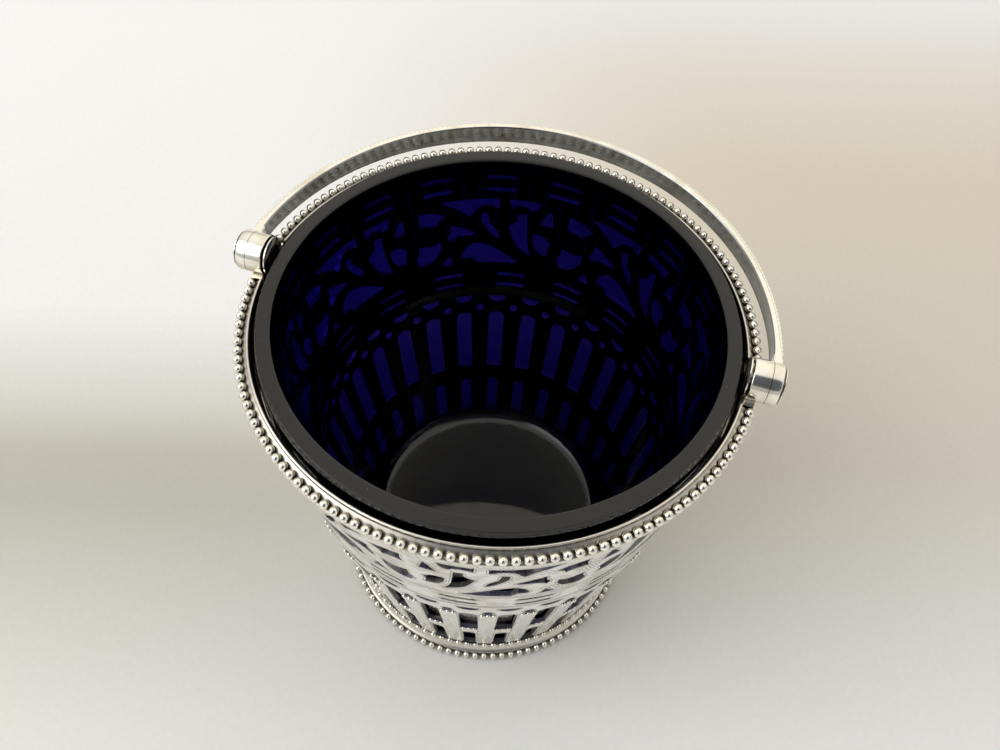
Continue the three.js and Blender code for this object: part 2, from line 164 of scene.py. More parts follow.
# Glass
GLASS_THICKNESS = 2.5 * MM
GLASS_GAP = 0.35 * MM
GLASS_RIM_EASE = 0.4 * MM
GLASS_RIM_WIDTH = 2.2 * MM
GLASS_FLOOR = 7.6 * MM
GLASS_FLOOR_DISH = 0.9 * MM
GLASS_FLOOR_RADIUS = 20.0 * MM
GLASS_CORNER = 13.6 * MM
GLASS_STEPS = 160

# One repeat of the scroll frieze: corners as shares, along from one wheel flower's centre to the next
# and up from the frieze's foot
FRIEZE_SHARES = {
    "bar": [(.136, 1), (.331, 1), (.326, .862), (.286, .903), (.227, .903), (.197, .855), (.165, .876)],
    "blade": [(.22, .793), (.275, .793), (.28, .676), (.339, .586), (.316, .469), (.284, .331),
              (.237, .234), (.155, .138), (.191, .29), (.21, .524)],
    "stem": [(.475, .786), (.519, .772), (.517, .676), (.475, .524), (.422, .407), (.39, .379),
             (.409, .51), (.46, .634)],
    "beam": [(.405, 1), (.792, 1), (.695, .89), (.636, .814), (.6, .738), (.576, .772), (.534, .883),
             (.466, .903), (.428, .862), (.405, .862)],
    "arrow": [(.551, .483), (.631, .566), (.725, .641), (.727, .524), (.75, .455), (.735, .359),
              (.676, .441), (.583, .455)],
    "leaf": [(.242, .014), (.326, .117), (.403, .221), (.498, .31), (.572, .324), (.619, .255),
             (.653, .138), (.64, .083), (.581, .097), (.549, .007)],
    "tooth": [(.708, .007), (.748, .145), (.807, .007)],
    "crown": [(.754, .786), (.837, .869), (.939, .903), (.934, .8), (.947, .69), (.881, .697),
              (.822, .648), (.803, .731)],
    "shield": [(.803, .414), (.86, .366), (.951, .407), (.958, .303), (.983, .193), (.958, .097),
               (.903, .097), (.835, .179), (.801, .303)],
    "spike": [(.032, .683), (.061, .91), (.089, .841), (.129, .683)],
    "crescent": [(.042, .207), (.059, .303), (.042, .421), (.108, .517), (.169, .51), (.161, .359),
                 (.11, .234)],
}

# Lamp
WINDOW_PLACE = Vector((-0.58, -0.22, 0.52))
WINDOW_AIM = Vector((0, 0, 0.03))
WINDOW_SIZE = 0.4
WINDOW_POWER = 1.0

# Patches of the room: direction, angles in degrees of the inner and outer edge, and colour
ROOM_PATCHES = [
    ((0.1, 0.75, 0.7), (15, 60), (1.08, 1.04, 0.93)),
    ((-0.6, -0.45, 0.65), (20, 34), (2.2, 2.2, 2.2)),
    ((0.26, -0.66, 0.7), (24, 36), (0.1, 0.112, 0.13)),
]

# Camera, in the frame
CAMERA_PLACE = Vector((18.69, -77.72, 164.78)) * MM
CAMERA_TURN = (radians(35.613), radians(-2.414), radians(16.495))
CAMERA_LENS = 31.355
CAMERA_SENSOR = 36.0


# Small tools

def to_object_mode():
    if bpy.context.object and bpy.context.object.mode != "OBJECT":
        bpy.ops.object.mode_set(mode="OBJECT")


def fresh_start():
    """Nothing selected, in object mode"""
    to_object_mode()
    bpy.ops.object.select_all(action="DESELECT")


def pick(piece):
    """Selects one piece alone and makes it active"""
    fresh_start()
    piece.select_set(True)
    bpy.context.view_layer.objects.active = piece


def new_object(name, data):
    piece = bpy.data.objects.new(name, data)
    bpy.context.scene.collection.objects.link(piece)
    return piece


def new_primitive(name):
    """The primitive just added, named, with its place moved into its mesh"""
    piece = bpy.context.object
    piece.name = name
    bpy.ops.object.transform_apply(location=True, rotation=True, scale=True)
    return piece


def edit_all(piece):
    pick(piece)
    bpy.ops.object.mode_set(mode="EDIT")
    bpy.ops.mesh.select_all(action="SELECT")


def apply_modifier(piece, kind, **settings):
    pick(piece)
    modifier = piece.modifiers.new(kind.title(), kind)
    for key, value in settings.items():
        setattr(modifier, key, value)
    bpy.ops.object.modifier_apply(modifier=modifier.name)


def cut_with(piece, cutter, operation="DIFFERENCE"):
    apply_modifier(piece, "BOOLEAN", operation=operation, solver="MANIFOLD", object=cutter)
    bpy.data.objects.remove(cutter)


def close_seams(piece):
    """Joins what meets and points the faces outwards"""
    edit_all(piece)
    bpy.ops.mesh.remove_doubles(threshold=WELD)
    bpy.ops.mesh.normals_make_consistent(inside=False)
    to_object_mode()


def finish_mesh(piece, angle=35):
    """Shades curves smooth and keeps flats flat beside their eased edges"""
    close_seams(piece)
    bpy.ops.object.shade_smooth_by_angle(angle=radians(angle))
    apply_modifier(piece, "WEIGHTED_NORMAL", keep_sharp=True)


def join_pieces(pieces):
    fresh_start()
    for piece in pieces:
        piece.select_set(True)
    bpy.context.view_layer.objects.active = pieces[0]
    bpy.ops.object.join()
    return pieces[0]


def turn_mesh(piece, turn):
    piece.data.transform(Matrix.Rotation(turn, 4, "Z"))


def turned_copy(piece, turn, name=None):
    """The same piece with its own mesh, turned round the pail"""
    twin = new_object(name or piece.name, piece.data.copy())
    turn_mesh(twin, turn)
    return twin


def place_copies(piece, turns):
    """A copy of the piece at each turn round the pail, all joined into one"""
    to_object_mode()
    copies = [turned_copy(piece, turn) for turn in turns]
    name = piece.name
    bpy.data.objects.remove(piece)
    whole = join_pieces(copies)
    whole.name = name
    return whole


def start_outline(name, points):
    """A chain of edges, grown from one vertex by extruding it from point to point"""
    fresh_start()
    bpy.ops.mesh.primitive_plane_add(size=MM)
    piece = new_primitive(name)
    edit_all(piece)
    bpy.ops.mesh.merge(type="CENTER")
    bpy.ops.transform.translate(value=points[0])
    for here, there in zip(points, points[1:]):
        bpy.ops.mesh.extrude_region_move(TRANSFORM_OT_translate={"value": there - here})
    return piece


def turned(name, outline, steps, about_x=False):
    """A piece spun from (radius, along) points, about the pail's axis or the hinge's"""
    if about_x:
        points = [Vector((along, 0, HINGE_HEIGHT + radius)) for radius, along in outline]
        centre, direction = (0, 0, HINGE_HEIGHT), (-1, 0, 0)
    else:
        points = [Vector((radius, 0, along)) for radius, along in outline]
        centre, direction = (0, 0, 0), (0, 0, -1)
    piece = start_outline(name, points)
    bpy.ops.mesh.select_all(action="SELECT")
    bpy.ops.mesh.spin(steps=steps, angle=tau, center=centre, axis=direction)
    return piece


def swept(name, outline, steps, start, end):
    """A closed section of (radius, height) points, carried round the pail from one angle to another"""
    piece = start_outline(name, [Vector((radius, 0, height)) for radius, height in closed(outline)])
    bpy.ops.mesh.select_all(action="SELECT")
    bpy.ops.mesh.remove_doubles(threshold=WELD)
    bpy.ops.mesh.select_all(action="SELECT")
    bpy.ops.mesh.edge_face_add()
    bpy.ops.mesh.spin(steps=steps, angle=end - start, center=(0, 0, 0), axis=(0, 0, -1))
    to_object_mode()
    turn_mesh(piece, start)
    return piece


def closed(outline):
    """The outline with its first point again at the end"""
    return outline + outline[:1]


def arc(centre, radius, start, end, steps):
    """Points on an arc, from one angle in degrees to another"""
    angles = [radians(start + (end - start) * i / steps) for i in range(steps + 1)]
    return [(centre[0] + radius * cos(a), centre[1] + radius * sin(a)) for a in angles]


def interpolate(marks, at):
    """The height of a line through (place, height) marks, at one place"""
    index = 1
    while index < len(marks) - 1 and at > marks[index][0]:
        index += 1
    (x0, y0), (x1, y1) = marks[index - 1], marks[index]
    return y0 + (y1 - y0) * (at - x0) / (x1 - x0)


def wall_radius(height):
    return interpolate([(WALL_FOOT, WALL_FOOT_RADIUS), (SHOULDER_HEIGHT, SHOULDER_RADIUS),
                        (WALL_TOP, WALL_TOP_RADIUS)], height)


def row_angles(count, marks):
    """Angles of a row of openings, spread evenly between the marked ones, and the first one again"""
    around = marks + [(marks[0][0] + count, marks[0][1] + 360)]
    return [radians(interpolate(around, i)) for i in range(count + 1)]


def dress(piece, body, material, slot, *nodes):
    """Gives a finished piece its material and body, and hides the nodes that it stands for"""
    piece.data.materials.clear()
    piece.data.materials.append(material)
    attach(piece, body)
    if nodes:
        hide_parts(*nodes)


# Materials

def feed(tree, node, values):
    """Gives inputs of a node a plain value each, or a link from another node's output"""
    for name, value in values.items():
        if isinstance(value, bpy.types.NodeSocket):
            tree.links.new(value, node.inputs[name])
        else:
            node.inputs[name].default_value = value


def add_node(tree, kind, values=None, **settings):
    node = tree.nodes.new(kind)
    for key, value in settings.items():
        setattr(node, key, value)
    feed(tree, node, values or {})
    return node


def object_place(tree):
    return add_node(tree, "ShaderNodeTexCoord").outputs["Object"]


def scaled(tree, vector, scale):
    return add_node(tree, "ShaderNodeMapping", {"Vector": vector, "Scale": scale}).outputs["Vector"]


def axis(tree, vector, name):
    return add_node(tree, "ShaderNodeSeparateXYZ", {"Vector": vector}).outputs[name]


def noise(tree, vector, scale, detail=2):
    values = {"Vector": vector, "Scale": scale, "Detail": detail}
    return add_node(tree, "ShaderNodeTexNoise", values).outputs["Fac"]


def remap(tree, value, start, end, low=0, high=1, **settings):
    """The span from start to end, turned into one from low to high and held at its ends"""
    values = {"Value": value, "From Min": start, "From Max": end, "To Min": low, "To Max": high}
    return add_node(tree, "ShaderNodeMapRange", values, **settings).outputs["Result"]


def calculate(tree, operation, *values):
    """One step of arithmetic, on numbers or on other nodes' outputs"""
    node = add_node(tree, "ShaderNodeMath", dict(enumerate(values)), operation=operation)
    return node.outputs["Value"]


def product(tree, first, *others):
    for other in others:
        first = calculate(tree, "MULTIPLY", first, other)
    return first


def measure(tree, operation, *vectors):
    """A number taken from vectors"""
    node = add_node(tree, "ShaderNodeVectorMath", dict(enumerate(vectors)), operation=operation)
    return node.outputs["Value"]


def mix(tree, share, under, over, kind="RGBA", **settings):
    """The second colour or value, laid over the first by its share"""
    node = add_node(tree, "ShaderNodeMix", data_type=kind, **settings)
    feed(tree, node, {"Factor": share, "A": under, "B": over})
    return node.outputs["Result"]


def ramp(tree, share, stops):
    """A colour ramp, its stops given as a place and a brightness or a colour"""
    node = add_node(tree, "ShaderNodeValToRGB", {"Fac": share})
    elements = node.color_ramp.elements
    while len(elements) < len(stops):
        elements.new(1.0)
    for element, (place, shade) in zip(elements, stops):
        element.position = place
        element.color = (*shade, 1) if isinstance(shade, tuple) else (shade, shade, shade, 1)
    return node.outputs["Color"]


def bump(tree, height, strength, distance, **settings):
    values = {"Height": height, "Strength": strength, "Distance": distance}
    return add_node(tree, "ShaderNodeBump", values, **settings)


def new_group(name, inputs, outputs):
    """A shader node group, what it is given, and the node that puts its results out"""
    group = bpy.data.node_groups.new(name, "ShaderNodeTree")
    for socket_name, usual in inputs.items():
        kind = "NodeSocketColor" if isinstance(usual, tuple) else "NodeSocketFloat"
        socket = group.interface.new_socket(socket_name, in_out="INPUT", socket_type=kind)
        socket.default_value = usual
    for socket_name, kind in outputs.items():
        group.interface.new_socket(socket_name, in_out="OUTPUT", socket_type=kind)
    return group, add_node(group, "NodeGroupInput").outputs, add_node(group, "NodeGroupOutput")


def place_group(tree, group, values=None):
    return add_node(tree, "ShaderNodeGroup", values, node_tree=group).outputs


def new_material(name):
    material = bpy.data.materials.new(name)
    material.use_nodes = True
    tree = material.node_tree
    return material, tree, tree.nodes["Principled BSDF"]


def make_polish_group():
    """Fine wiping scratches and small dents of hand-polished silver"""
    group, given, results = new_group(
        "hand_polish",
        {"Scratch Scale": 900, "Dent Scale": 160, "Low Roughness": 0.12, "High Roughness": 0.3},
        {"Roughness": "NodeSocketFloat", "Height": "NodeSocketFloat"})
    place = object_place(group)
    scratches = noise(group, scaled(group, place, (1, 1, 0.12)), given["Scratch Scale"], 4)
    dents = noise(group, place, given["Dent Scale"])
    feed(group, results, {
        "Roughness": remap(group, scratches, 0, 1, given["Low Roughness"], given["High Roughness"]),
        "Height": mix(group, 0.75, scratches, dents, "FLOAT")})
    return group


def make_tarnish_and_shade_group():
    """Silver's colour: darker in hollows from tarnish and painted shade, and warmer in faint patches"""
    group, given, results = new_group(
        "tarnish_and_shade",
        {"Silver": (0.95, 0.935, 0.9, 1), "Oxide And Shade": (0.05, 0.045, 0.04, 1), "Warm": (0.78, 0.7, 0.56, 1),
         "Reach": 0.6 * MM, "Depth": 0.8, "Open": 0.8},
        {"Color": "NodeSocketColor"})
    patches = remap(group, noise(group, object_place(group), 240, 5), 0.46, 0.72, 0, 0.6)
    warmed = mix(group, patches, given["Silver"], given["Warm"])
    # painted shade: occlusion darkens the hollows towards the oxide colour, on top of the tarnish they hold
    crevice = add_node(group, "ShaderNodeAmbientOcclusion", {"Distance": given["Reach"]}, samples=8)
    hollow = remap(group, crevice.outputs["AO"], 0.35, given["Open"], 1, 0)
    feed(group, results, {
        "Color": mix(group, product(group, hollow, given["Depth"]), warmed, given["Oxide And Shade"])})
    return group


def make_engraving_group():
    """Lines that follow every opening, rings between the rows, and the frieze's fine strokes"""
    group, given, results = new_group(
        "engraving", {"Contour Reach": 0.45 * MM, "Waver": 0.25 * MM}, {"Line": "NodeSocketFloat"})
    place = object_place(group)
    height = axis(group, place, "Z")
    inside = add_node(group, "ShaderNodeAmbientOcclusion", {"Distance": given["Contour Reach"]},
                      samples=16, inside=True, only_local=True)
    contours = ramp(group, inside.outputs["AO"],
                    [(0.6, 0.0), (0.74, 0.0), (0.82, 1.0), (0.88, 1.0), (0.95, 0.0)])
    sway = calculate(group, "SUBTRACT", noise(group, place, 130), 0.5)
    swayed = calculate(group, "MULTIPLY_ADD", sway, given["Waver"], height)
    stops = []
    for ring in ENGRAVED_RINGS:
        share, half = ring / WALL_TOP, RING_HALF_WIDTH / WALL_TOP
        stops += [(share - half, 0.0), (share, 1.0), (share + half, 0.0)]
    rings = ramp(group, remap(group, swayed, 0, WALL_TOP), stops)
    waves = add_node(group, "ShaderNodeTexWave",
                     {"Vector": place, "Scale": 760, "Distortion": 14, "Detail": 2, "Detail Scale": 0.35},
                     bands_direction="DIAGONAL")
    strokes = product(
        group, remap(group, waves.outputs["Fac"], 0.55, 0.8),
        remap(group, noise(group, place, 300, 1), 0.48, 0.54),
        remap(group, height, STROKES_BEGIN, STROKES_FULL, interpolation_type="SMOOTHSTEP"), 0.6)
    lines = calculate(group, "MAXIMUM", calculate(group, "MAXIMUM", contours, rings), strokes)
    normal = add_node(group, "ShaderNodeNewGeometry").outputs["Normal"]
    outward = measure(group, "DOT_PRODUCT", scaled(group, place, (1, 1, 0)), normal)
    feed(group, results, {"Line": product(group, lines, calculate(group, "GREATER_THAN", outward, 0))})
    return group


def make_silver(name, polish, tarnish_and_shade, strength, colours, roughness):
    """Polished silver with its own tarnish and painted shade in its hollows, and scratches between two
    roughnesses
    """
    material, tree, surface = new_material(name)
    finish = place_group(tree, polish, dict(zip(("Low Roughness", "High Roughness"), roughness)))
    feed(tree, surface, {
        "Metallic": 1,
        "Base Color": place_group(tree, tarnish_and_shade, colours)["Color"],
        "Roughness": finish["Roughness"],
        "Normal": bump(tree, finish["Height"], strength, 0.02 * MM).outputs["Normal"]})
    return material


def make_engraved_silver(polish, tarnish_and_shade, engraving):
    """Sheet silver with a satin face, hand-filed and engraved"""
    material, tree, surface = new_material("engraved_silver")
    silver = place_group(tree, tarnish_and_shade, {"Depth": 0.85, "Reach": 0.5 * MM})["Color"]
    line = place_group(tree, engraving)["Line"]
    finish = place_group(tree, polish,
                         {"Low Roughness": 0.24, "High Roughness": 0.42, "Dent Scale": 420})
    grooves = bump(tree, line, 0.6, 0.05 * MM, invert=True)
    feed(tree, grooves, {"Normal": bump(tree, finish["Height"], 0.45, 0.06 * MM).outputs["Normal"]})
    feed(tree, surface, {
        "Metallic": 1,
        "Base Color": mix(tree, product(tree, line, 0.85), silver, (0.1, 0.09, 0.08, 1)),
        "Roughness": finish["Roughness"],
        "Normal": grooves.outputs["Normal"]})
    return material


def make_shade_darkened_silver(tarnish_and_shade):
    """Dull silver, painted dark for the shade and dark reflections on the bail's inner face, with long
    brushed streaks
    """
    material, tree, surface = new_material("shade_darkened_silver")
    # painted shade: a dark colour standing in for the shade and dark reflections that the inner face shows
    colours = {"Silver": (0.3, 0.31, 0.32, 1), "Warm": (0.16, 0.15, 0.13, 1), "Depth": 0.6}
    streaks = noise(tree, scaled(tree, object_place(tree), (0.12, 0.12, 2.6)), 700, 3)
    feed(tree, surface, {
        "Metallic": 1,
        "Base Color": place_group(tree, tarnish_and_shade, colours)["Color"],
        "Roughness": remap(tree, streaks, 0, 1, 0.14, 0.42),
        "Normal": bump(tree, streaks, 0.35, 0.03 * MM).outputs["Normal"]})
    return material


def make_ground_group():
    """Where the glass isn't clear: its ground rim with specks, and the film in the corner of its floor"""
    group, given, results = new_group(
        "ground_glass", {"Film": 0.6},
        {"Ground": "NodeSocketFloat", "Film": "NodeSocketFloat", "Speck": "NodeSocketFloat"})
    place = object_place(group)
    height = axis(group, place, "Z")
    radius = measure(group, "LENGTH", scaled(group, place, (1, 1, 0)))
    across = remap(group, radius, GLASS_FLOOR_RADIUS - 2.5 * MM, GLASS_FLOOR_RADIUS + 2.5 * MM)
    ring = ramp(group, across, [(0.0, 0.0), (0.44, 0.02), (0.55, 0.3), (0.64, 0.0)])
    below = calculate(group, "LESS_THAN", height, GLASS_CORNER)
    above = calculate(group, "GREATER_THAN", height, GLASS_FLOOR - 1.5 * MM)
    feed(group, results, {
        "Ground": remap(group, height, LINER_HIGH.z - 0.9 * MM, LINER_HIGH.z - 0.6 * MM,
                        interpolation_type="SMOOTHSTEP"),
        "Film": product(group, ring, below, above, given["Film"]),
        "Speck": remap(group, noise(group, place, 1900, 1), 0.74, 0.78)})
    return group


def make_cobalt_glass():
    """Thick cobalt glass, black where it is seen lengthways, with a ground rim"""
    material, tree, surface = new_material("cobalt_glass")
    places = place_group(tree, make_ground_group())
    place = object_place(tree)
    up_the_side = remap(tree, axis(tree, place, "Z"), 14 * MM, 50 * MM)
    tint = mix(tree, up_the_side, (0.2, 0.2, 0.45, 1), (0.9, 0.9, 1, 1))
    filmed = mix(tree, places["Film"], tint, (0.3, 0.29, 0.28, 1))
    wipes = remap(tree, noise(tree, place, 260, 5), 0.45, 0.8, 0.02, 0.09)
    frosted = calculate(tree, "MULTIPLY_ADD", places["Ground"], 0.12, wipes)
    specks = product(tree, places["Speck"], places["Ground"])
    feed(tree, surface, {
        "IOR": 1.52,
        "Transmission Weight": 1,
        "Coat Roughness": 0.5,
        "Base Color": mix(tree, places["Ground"], filmed, (0.005, 0.006, 0.005, 1)),
        "Coat Weight": calculate(tree, "MULTIPLY_ADD", places["Film"], 4.5, specks),
        "Roughness": calculate(tree, "MULTIPLY_ADD", places["Film"], 1.4, frosted)})
    depth = add_node(tree, "ShaderNodeVolumeAbsorption", {"Color": (0.12, 0.02, 0.58, 1), "Density": 2000})
    feed(tree, tree.nodes["Material Output"], {"Volume": depth.outputs["Volume"]})
    return material


def make_cloth():
    """Pale, faintly woven cover that the pail stands on, with a broad soft band of painted shade across it
    and painted warm shade towards its right
    """
    material, tree, surface = new_material("pale_cloth")
    place = object_place(tree)
    weave = noise(tree, place, 900, 3)
    turn = add_node(tree, "ShaderNodeMapping", {"Vector": place, "Rotation": (0, 0, -radians(16.5))})
    axes = add_node(tree, "ShaderNodeSeparateXYZ", {"Vector": turn.outputs["Vector"]}).outputs
    back = remap(tree, axes["Y"], -0.1, 0.2)
    # painted shade: a broad soft band of shadow across the cover
    painted_shade_band = ramp(tree, back, [
        (0.1, 0.88), (0.2, (0.8, 0.79, 0.75)), (0.345, (0.53, 0.515, 0.465)),
        (0.385, (0.54, 0.52, 0.465)), (0.43, (0.7, 0.685, 0.64)), (0.52, 0.9), (0.9, 0.93)])
    # painted shade and warm light on the right of the cover, darkest across its middle
    painted_warm_shade = ramp(tree, back, [
        (0.1, 0.86), (0.2, 0.8), (0.38, (0.68, 0.65, 0.58)), (0.7, (0.71, 0.63, 0.52)),
        (0.85, (0.77, 0.72, 0.65)), (1.0, 0.86)])
    right = remap(tree, axes["X"], -0.08, 0.075, interpolation_type="SMOOTHSTEP")
    tint = mix(tree, right, painted_shade_band, painted_warm_shade)
    feed(tree, surface, {
        "Roughness": 0.9,
        "Base Color": mix(tree, weave, tint, (0.92, 0.92, 0.91, 1), blend_type="MULTIPLY"),
        "Normal": bump(tree, weave, 0.2, 0.1 * MM).outputs["Normal"]})
    return material


# Pierced wall

def smooth_outline(points, steps=3, corner=radians(48)):
    """A smooth closed line through the points, left sharp where it turns hard"""
    points = [Vector((x, z, 0)) for x, z in points]
    count = len(points)
    tangents = []
    for i in range(count):
        before, after = points[i] - points[i - 1], points[(i + 1) % count] - points[i]
        flows = before.angle(after) < corner
        tangents.append((before.normalized() + after.normalized()).normalized() if flows else None)
    line = []
    for i in range(count):
        here, there = points[i], points[(i + 1) % count]
        third = (there - here).length / 3
        straight = (there - here).normalized()
        leave = here + (tangents[i] or straight) * third
        arrive = there - (tangents[(i + 1) % count] or straight) * third
        line += interpolate_bezier(here, leave, arrive, there, steps + 1)[:-1]
    return [(p.x, p.y) for p in line]


def stripe_outline():
    """A stripe with slightly rounded ends"""
    x, z = STRIPE_LENGTH / 2, STRIPE_HEIGHT / 2
    ease = z * 0.6
    return [(-x, -z + ease), (-x + ease, -z), (x - ease, -z), (x, -z + ease),
            (x, z - ease), (x - ease, z), (-x + ease, z), (-x, z - ease)]


def slit_outline(width, foot, top):
    """An upright slit with an arched top"""
    x, spring = width / 2, top - SLIT_ARCH_RISE
    arch = [(x * cos(a), spring + SLIT_ARCH_RISE * sin(a)) for a in [pi * i / 8 for i in range(9)]]
    return [(-x, foot), (x, foot)] + arch


def lunette_outline():
    """A half-moon with its flat side up"""
    x = LUNETTE_WIDTH / 2
    return [(x * cos(a), LUNETTE_TOP - LUNETTE_DROP * sin(a)) for a in [pi * i / 10 for i in range(11)]]


def dot_outline():
    angles = [tau * i / 12 for i in range(12)]
    return [(DOT_RADIUS * cos(a), DOT_HEIGHT + DOT_RADIUS * sin(a)) for a in angles]


def wall_openings():
    """Every opening, as its middle angle and its outline across and up the wall"""
    openings = []
    for count, marks, height in ((UPPER_STRIPE_COUNT, UPPER_STRIPE_MARKS, UPPER_STRIPES),
                                 (LOWER_STRIPE_COUNT, LOWER_STRIPE_MARKS, LOWER_STRIPES)):
        for angle in row_angles(count, marks)[:-1]:
            for side in (-1, 1):
                middle = height + side * STRIPE_PITCH / 2
                openings.append((angle, [(x, middle + z) for x, z in stripe_outline()]))
    angles = row_angles(SLIT_COUNT, SLIT_MARKS)
    for angle, after in zip(angles, angles[1:]):
        openings.append((angle, slit_outline(LONG_SLIT_WIDTH, LONG_SLIT_FOOT, LONG_SLIT_TOP)))
        openings.append((angle, slit_outline(SHORT_SLIT_WIDTH, SHORT_SLIT_FOOT, SHORT_SLIT_TOP)))
        openings.append((angle, lunette_outline()))
        openings.append(((angle + after) / 2, dot_outline()))
    angles = row_angles(FRIEZE_COUNT, FRIEZE_MARKS)
    for angle, after in zip(angles, angles[1:]):
        for shares in FRIEZE_SHARES.values():
            turns = [angle + along * (after - angle) for along, up in shares]
            middle = (min(turns) + max(turns)) / 2
            heights = [FRIEZE_FOOT + up * FRIEZE_HEIGHT for along, up in shares]
            corners = [(wall_radius(z) * sin(turn - middle), z) for turn, z in zip(turns, heights)]
            openings.append((middle, smooth_outline(corners)))
    return openings


def make_cutters():
    """One flat face inside the wall for each opening, extruded out through it"""
    drawing = bmesh.new()
    for angle, outline in wall_openings():
        out = Vector((cos(angle), sin(angle), 0))
        across = Vector((-sin(angle), cos(angle), 0))
        depth = wall_radius(min(z for x, z in outline)) - WALL_SHEET - CUTTER_START
        corners = [drawing.verts.new(out * depth + across * x + Vector((0, 0, z))) for x, z in outline]
        face = drawing.faces.new(corners)
        face.normal_update()
        if face.normal.dot(out) < 0:
            face.normal_flip()
    mesh = bpy.data.meshes.new("opening_cutters")
    drawing.to_mesh(mesh)
    drawing.free()
    cutters = new_object("opening_cutters", mesh)
    edit_all(cutters)
    bpy.ops.mesh.extrude_region_shrink_fatten(TRANSFORM_OT_shrink_fatten={"value": CUTTER_LENGTH})
    bpy.ops.mesh.select_all(action="SELECT")
    bpy.ops.mesh.normals_make_consistent(inside=False)
    to_object_mode()
    return cutters


def is_cut_edge(edge):
    """Between the wall's face and the side of an opening"""
    if len(edge.link_faces) != 2:
        return False
    middle = (edge.verts[0].co + edge.verts[1].co) / 2
    out = Vector((middle.x, middle.y, 0)).normalized()
    leans = sorted(abs(face.normal.dot(out)) for face in edge.link_faces)
    return leans[0] < 0.6 and leans[1] > 0.9


def ease_cut_edges(piece):
    """A narrow bevel along every cut edge of the piercing"""
    edit_all(piece)
    bpy.ops.mesh.select_all(action="DESELECT")
    mesh = bmesh.from_edit_mesh(piece.data)
    for edge in mesh.edges:
        if is_cut_edge(edge):
            edge.select_set(True)
    bmesh.update_edit_mesh(piece.data)
    bpy.ops.mesh.bevel(offset=EDGE_BEVEL, segments=1, clamp_overlap=True)
    to_object_mode()


def make_wall(material):
    sheet = WALL_SHEET
    wall = turned("silver_wall", closed([
        (WALL_FOOT_RADIUS, WALL_FOOT), (SHOULDER_RADIUS, SHOULDER_HEIGHT), (WALL_TOP_RADIUS, WALL_TOP),
        (WALL_TOP_RADIUS - sheet, WALL_TOP), (SHOULDER_RADIUS - sheet, SHOULDER_HEIGHT),
        (WALL_FOOT_RADIUS - sheet, WALL_FOOT)]), WALL_STEPS)
    close_seams(wall)
    cut_with(wall, make_cutters())
    ease_cut_edges(wall)
    finish_mesh(wall, angle=30)
    dress(wall, "pail", material, "silver", "pierced_wall")


def between_slits():
    angles = row_angles(SLIT_COUNT, SLIT_MARKS)
    return [(angle + after) / 2 for angle, after in zip(angles, angles[1:])]


def make_upright_bars(material):
    """Flat bars between the slits, which stand proud of the bars that cross behind them"""
    foot, head = FOOT_HIGH.z + 0.3 * MM, LONG_SLIT_TOP - 0.3 * MM
    reach = wall_radius(foot) + BAR_RELIEF - BAR_THICKNESS / 2
    fresh_start()
    bpy.ops.mesh.primitive_cube_add(size=1, location=(reach, 0, (foot + head) / 2),
                                    scale=(BAR_THICKNESS, BAR_WIDTH, head - foot))
    bar = new_primitive("upright_bars")
    edit_all(bar)
    bpy.ops.mesh.select_all(action="DESELECT")
    mesh = bmesh.from_edit_mesh(bar.data)
    for vertex in mesh.verts:
        if vertex.co.z > (foot + head) / 2:
            vertex.select_set(True)
    bmesh.update_edit_mesh(bar.data)
    bpy.ops.transform.translate(value=(wall_radius(head) - wall_radius(foot), 0, 0))
    bpy.ops.mesh.select_all(action="SELECT")
    bpy.ops.mesh.bevel(offset=BAR_EASE, segments=3)
    bars = place_copies(bar, between_slits())
    finish_mesh(bars)
    dress(bars, "pail", material, "silver")


def pearl_row(name, height, relief, count=3):
    """A few pearls side by side on the wall, facing along X"""
    middle = (count - 1) / 2
    reach = wall_radius(height) + relief
    places = [(reach, (i - middle) * PEARL_PITCH, height) for i in range(count)]
    row = join_pieces([add_small_bead(name, PEARL_RADIUS, place, PEARL_SQUASH) for place in places])
    row.name = name
    return row


def make_pearls(material):
    """Pearled edges: on the heads of the upright bars, on the bar that crosses them, and above the foot"""
    heads = pearl_row("bar_head_pearls", LONG_SLIT_TOP - 0.25 * MM, 0.12 * MM)
    heads = place_copies(heads, between_slits())
    crossing = pearl_row("cross_bar_pearls", LONG_SLIT_FOOT - 0.3 * MM, -0.1 * MM)
    crossing = place_copies(crossing, row_angles(SLIT_COUNT, SLIT_MARKS)[:-1])
    foot_place = (wall_radius(FOOT_HIGH.z) + 0.4 * MM, 0, FOOT_HIGH.z + 0.12 * MM)
    foot = add_small_bead("foot_pearls", FOOT_PEARL_RADIUS, foot_place, PEARL_SQUASH)
    spin_copies(foot, FOOT_BEAD_COUNT, FOOT_BEAD_SPAN)
    pearls = join_pieces([foot, heads, crossing])
    bpy.ops.object.shade_smooth()
    dress(pearls, "pail", material, "beaded_silver")


# Rim and foot

